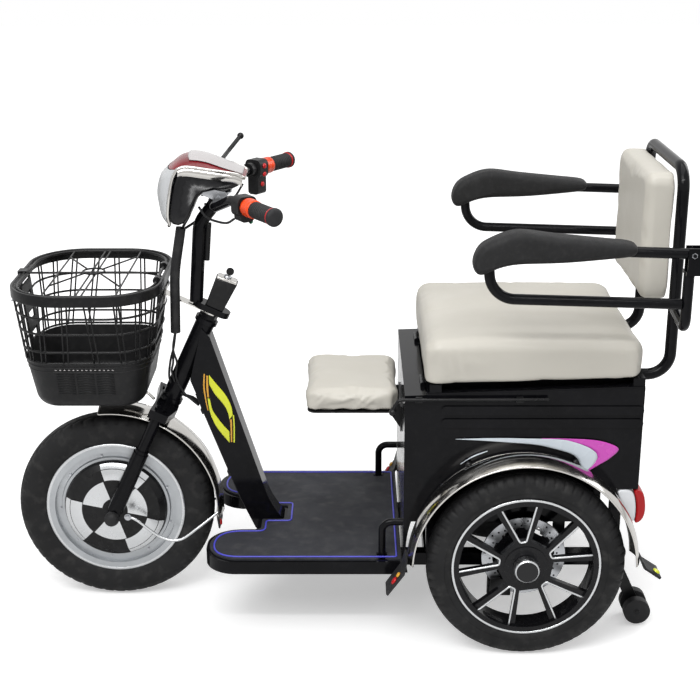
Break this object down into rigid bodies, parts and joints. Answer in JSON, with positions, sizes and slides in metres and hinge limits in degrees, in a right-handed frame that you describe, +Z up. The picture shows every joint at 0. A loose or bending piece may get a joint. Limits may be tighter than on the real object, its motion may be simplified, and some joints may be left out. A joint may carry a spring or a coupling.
{
  "type": "three-wheel electric mobility scooter",
  "caption": "Electric mobility scooter on three wheels: fork-steered motor front wheel with basket, foot deck, padded seat with arms on a storage box.",
  "frame": {"origin": "centre of the bounding box in plan, on the floor under the wheels", "axes": "+X forward along the direction of travel, +Y to the rider's left, +Z up; the wheels turn about Y"},
  "size_m": [1.479, 0.67, 1.0674],
  "materials": {
    "gloss_black_paint": "gloss",
    "satin_black_paint": "satin",
    "chrome_plate": "polished",
    "steel": "satin",
    "silver_paint": "gloss",
    "machined_alloy": "machined",
    "tyre_rubber": "matt",
    "black_rubber": "matt",
    "mat_rubber": "matt",
    "black_plastic": "satin",
    "gloss_plastic": "gloss",
    "lens": "clear",
    "cover_grey": "gloss",
    "red_lens": "gloss",
    "vinyl": "satin",
    "battery_case": "matt"
  },
  "bodies": {
    "frame": {"main_frame": "gloss_black_paint", "front_column": "gloss_black_paint", "floor_pan": "gloss_black_paint", "floor_mat": "mat_rubber", "floor_hoops": "gloss_black_paint", "storage_box": "gloss_black_paint", "battery_block": "battery_case", "rear_axle": "steel", "brake_calipers": "satin_black_paint", "rear_fenders": "chrome_plate", "rear_mudflaps": "black_rubber", "tail_lamps": "red_lens", "anti_tip_arms": "satin_black_paint", "park_lever": "chrome_plate", "frame_cables": "black_rubber", "child_bracket": "satin_black_paint"},
    "steering": {"fork": "gloss_black_paint", "stem": "satin_black_paint", "handlebar": "satin_black_paint", "grips": "black_rubber", "switch_housings": "black_plastic", "brake_lever": "satin_black_paint", "headlamp_housing": "gloss_plastic", "headlamp_lens": "lens", "headlamp_cover": "cover_grey", "lock_box": "black_plastic", "basket_tub": "black_plastic", "basket_wire": "satin_black_paint", "basket_bracket": "chrome_plate", "front_fender": "chrome_plate", "front_mudflap": "black_rubber", "cable_sleeve": "black_rubber"},
    "basket_lid": {"basket_lid": "satin_black_paint"},
    "front_wheel": {"front_tyre": "tyre_rubber", "front_rim": "silver_paint", "hub_motor": "satin_black_paint"},
    "rear_wheel_left": {"rear_tyre_left": "tyre_rubber", "rear_wheel_left": "machined_alloy"},
    "rear_wheel_right": {"rear_tyre_right": "tyre_rubber", "rear_wheel_right": "machined_alloy"},
    "anti_tip_left": {"anti_tip_wheels_left": "black_rubber"},
    "anti_tip_right": {"anti_tip_wheels_right": "black_rubber"},
    "seat": {"seat_base": "satin_black_paint", "seat_cushion": "vinyl", "backrest_frame": "gloss_black_paint", "backrest_cushion": "vinyl"},
    "armrest_left": {"armrest_frame_left": "gloss_black_paint", "armrest_pad_left": "black_rubber"},
    "armrest_right": {"armrest_frame_right": "gloss_black_paint", "armrest_pad_right": "black_rubber"},
    "child_seat": {"child_seat_pan": "satin_black_paint", "child_seat_cushion": "vinyl"}
  },
  "joints": [
    {"name": "steering_turn", "type": "hinge", "parent": "frame", "child": "steering", "pos_m": [0.49872, 0, 0.22351], "axis": [-0.4226, 0, 0.9063], "range_deg": [-40, 40]},
    {"name": "basket_lid_lift", "type": "hinge", "parent": "steering", "child": "basket_lid", "pos_m": [0.3835, 0, 0.791], "axis": [0, -1, 0], "range_deg": [0, 80]},
    {"name": "front_wheel_spin", "type": "hinge", "parent": "steering", "child": "front_wheel", "pos_m": [0.5105, 0, 0.229], "axis": [0, 1, 0], "continuous": true},
    {"name": "rear_left_spin", "type": "hinge", "parent": "frame", "child": "rear_wheel_left", "pos_m": [-0.4175, 0.275, 0.216], "axis": [0, 1, 0], "continuous": true},
    {"name": "rear_right_spin", "type": "hinge", "parent": "frame", "child": "rear_wheel_right", "pos_m": [-0.4175, -0.275, 0.216], "axis": [0, 1, 0], "continuous": true},
    {"name": "anti_tip_left_spin", "type": "hinge", "parent": "frame", "child": "anti_tip_left", "pos_m": [-0.6925, 0.145, 0.037], "axis": [0, 1, 0], "continuous": true},
    {"name": "anti_tip_right_spin", "type": "hinge", "parent": "frame", "child": "anti_tip_right", "pos_m": [-0.6925, -0.145, 0.037], "axis": [0, 1, 0], "continuous": true},
    {"name": "seat_tilt", "type": "hinge", "parent": "frame", "child": "seat", "pos_m": [-0.1945, 0, 0.5907], "axis": [0, 1, 0], "range_deg": [0, 70]},
    {"name": "armrest_left_lift", "type": "hinge", "parent": "seat", "child": "armrest_left", "pos_m": [-0.7185, 0.305, 0.914], "axis": [0, -1, 0], "range_deg": [0, 95]},
    {"name": "armrest_right_lift", "type": "hinge", "parent": "seat", "child": "armrest_right", "pos_m": [-0.7185, -0.305, 0.914], "axis": [0, -1, 0], "range_deg": [0, 95]},
    {"name": "child_seat_fold", "type": "hinge", "parent": "frame", "child": "child_seat", "pos_m": [-0.1255, 0, 0.495], "axis": [0, 1, 0], "range_deg": [0, 90]}
  ]
}
